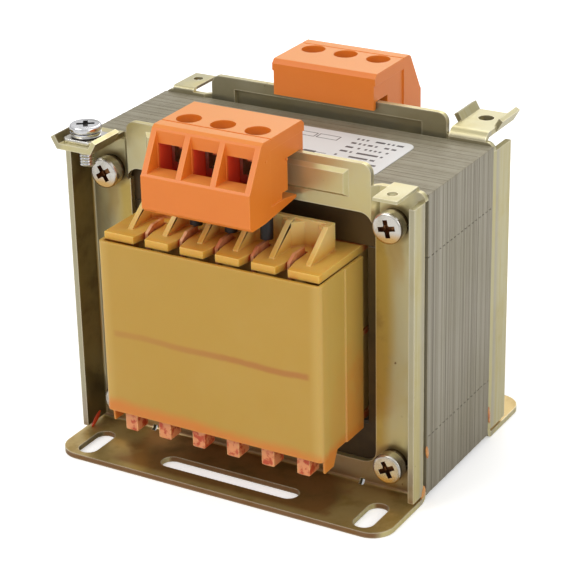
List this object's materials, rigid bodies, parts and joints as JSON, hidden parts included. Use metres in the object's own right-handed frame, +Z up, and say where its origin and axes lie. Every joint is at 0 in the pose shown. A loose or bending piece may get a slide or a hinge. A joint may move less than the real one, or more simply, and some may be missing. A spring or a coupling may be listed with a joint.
{
  "type": "laminated chassis transformer",
  "caption": "Open-frame E and I laminated transformer on two bent feet, with covered coil, screw terminal blocks and earth tabs.",
  "frame": {"origin": "on the mounting plane under the feet, at the middle of the core", "axes": "+X to the right along the front, -Y out of the front cover, +Z up from the feet"},
  "size_m": [0.096, 0.0878, 0.095],
  "materials": {
    "lamination_steel": "satin",
    "yellow_zinc": "satin",
    "bright_zinc": "satin",
    "tinned_brass": "satin",
    "bobbin_nylon": "satin",
    "cover_nylon": "satin",
    "terminal_nylon": "satin",
    "copper_wire": "gloss",
    "film": "gloss",
    "sleeve": "satin",
    "label": "satin"
  },
  "bodies": {
    "root": {"e_laminations": "lamination_steel", "i_laminations": "lamination_steel", "front_frame": "yellow_zinc", "rear_frame": "yellow_zinc", "core_bolts": "bright_zinc", "core_nuts": "bright_zinc", "earth_screw": "bright_zinc", "earth_clamp_washer": "bright_zinc", "bobbin": "bobbin_nylon", "lower_winding": "copper_wire", "upper_winding": "copper_wire", "lower_winding_film": "film", "upper_winding_film": "film", "front_coil_cover": "cover_nylon", "rear_coil_cover": "cover_nylon", "front_solder_tags": "tinned_brass", "rear_solder_tags": "tinned_brass", "front_sleeved_leads": "sleeve", "rear_sleeved_leads": "sleeve", "front_terminal_housing": "terminal_nylon", "rear_terminal_housing": "terminal_nylon", "front_terminal_clamps": "bright_zinc", "rear_terminal_clamps": "bright_zinc", "front_terminal_pins": "tinned_brass", "rear_terminal_pins": "tinned_brass", "rating_label": "label"}
  },
  "joints": []
}
